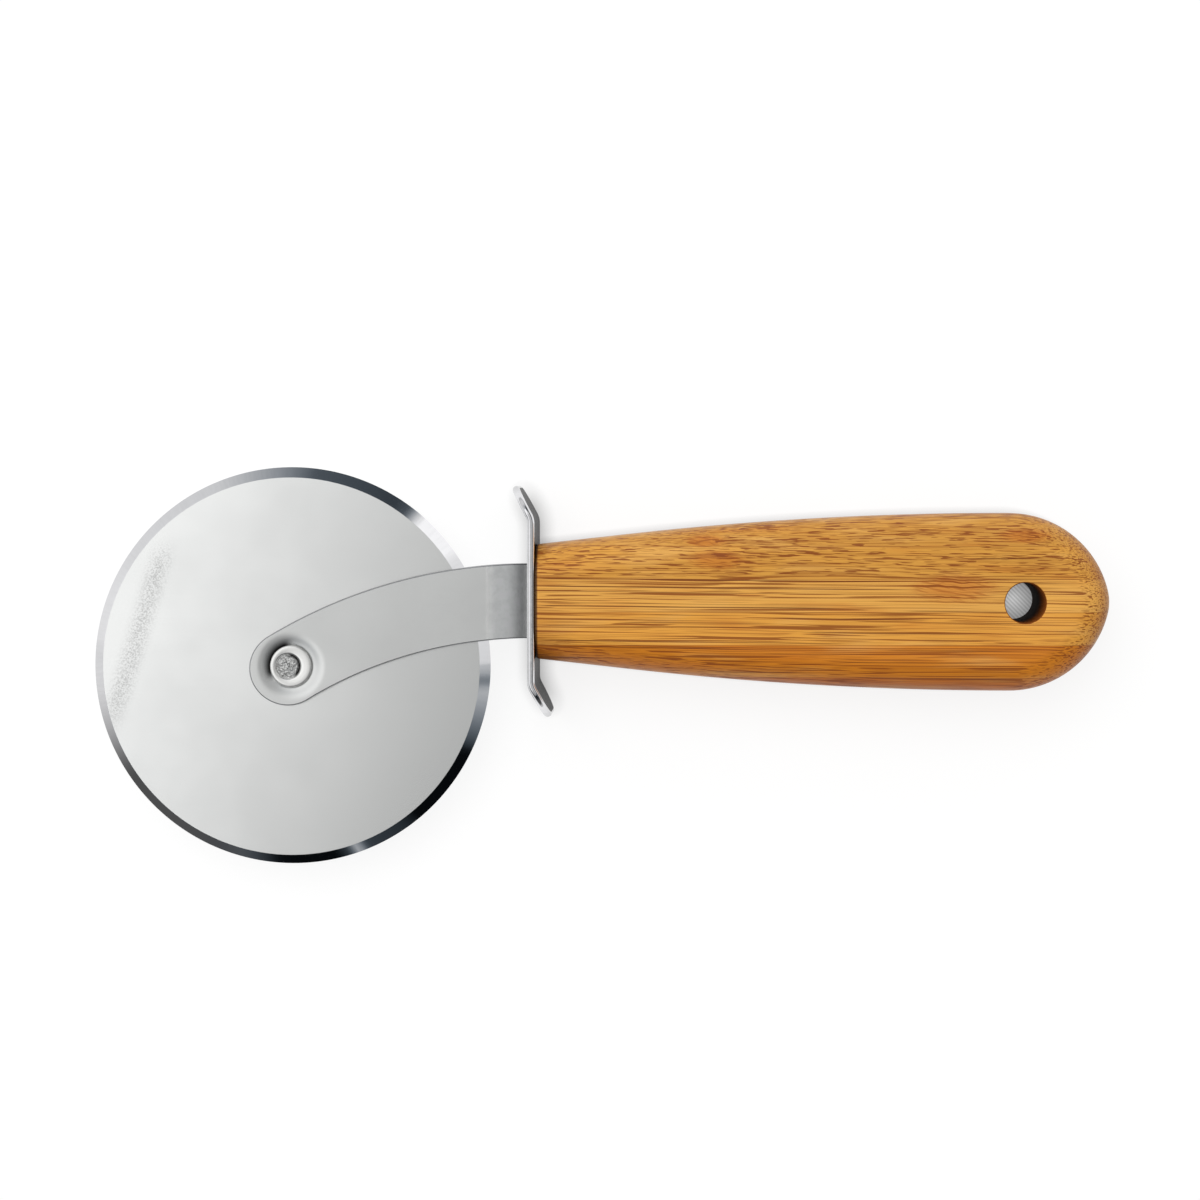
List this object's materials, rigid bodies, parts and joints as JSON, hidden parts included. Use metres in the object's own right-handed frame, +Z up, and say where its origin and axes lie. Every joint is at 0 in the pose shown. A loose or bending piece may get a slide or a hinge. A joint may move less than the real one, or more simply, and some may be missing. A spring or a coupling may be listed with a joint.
{
  "type": "pizza cutter wheel",
  "caption": "Hand-held pizza cutter: a ground steel wheel spins on a riveted axle between two curved arms, with a bent finger guard and a flat bamboo handle that hangs by a hole.",
  "frame": {"origin": "on the surface that the tool lies on, under the middle of its length and of its width", "axes": "+X from the wheel along the handle to its end, +Y to the side that the wheel's axle is set away from, +Z up, along the axle and square to the blade"},
  "size_m": [0.1906, 0.075, 0.02],
  "materials": {
    "blade_steel": "satin",
    "bush_steel": "satin",
    "rivet_steel": "satin",
    "arm_steel": "satin",
    "guard_steel": "satin",
    "bamboo": "satin",
    "glue": "matte"
  },
  "bodies": {
    "holder": {"axle_bush": "bush_steel", "axle_rivet": "rivet_steel", "front_arm": "arm_steel", "rear_arm": "arm_steel", "finger_guard": "guard_steel", "handle": "bamboo", "tang_glue": "glue"},
    "wheel": {"cutting_wheel": "blade_steel"}
  },
  "joints": [
    {"name": "wheel_spin", "type": "hinge", "parent": "holder", "child": "wheel", "pos_m": [-0.0578, 0, 0.01], "axis": [0, 0, 1], "continuous": true}
  ]
}
